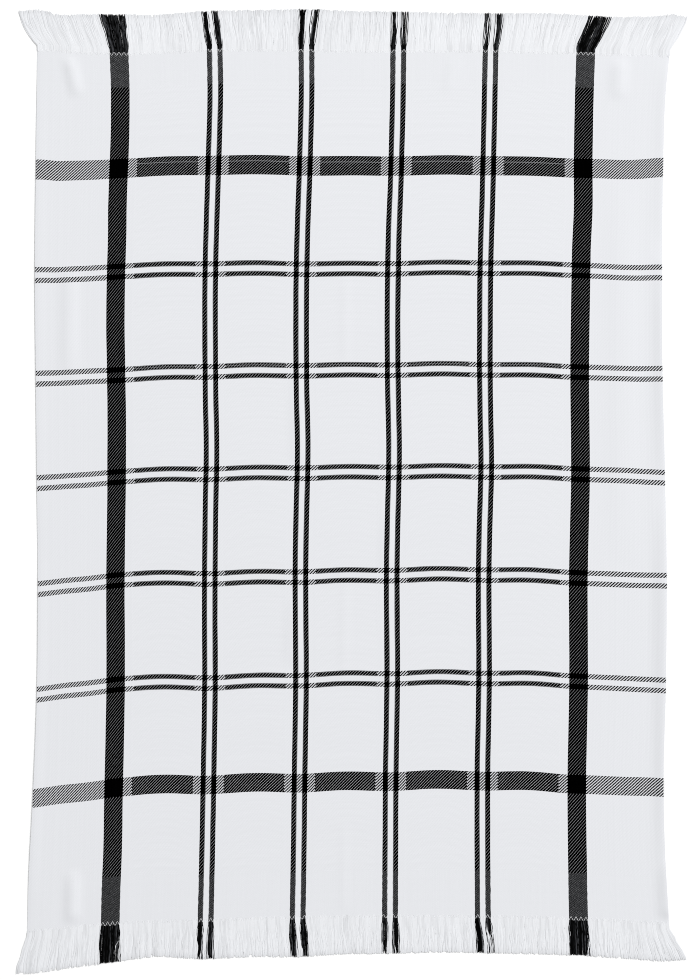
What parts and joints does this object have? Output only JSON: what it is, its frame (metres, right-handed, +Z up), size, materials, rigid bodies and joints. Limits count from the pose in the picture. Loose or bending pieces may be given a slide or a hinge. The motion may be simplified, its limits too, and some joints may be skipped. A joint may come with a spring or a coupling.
{
  "type": "tea towel",
  "caption": "Oblong woven cotton tea towel lying flat, white with a black windowpane check, with plain selvedges at the sides and a cut fringe at each end.",
  "frame": {"origin": "the middle of the cloth's underside, on the surface it lies on", "axes": "+Y along the cloth towards its top fringe, +X across it to the right, +Z up through its thickness"},
  "size_m": [0.5328, 0.7724, 0.0037],
  "materials": {
    "cloth": "matt woven cotton twill with a black check",
    "fringe": "matt loose cotton yarn"
  },
  "bodies": {
    "root": {"cloth": "cloth", "fringe_top": "fringe", "fringe_bottom": "fringe"}
  },
  "joints": []
}
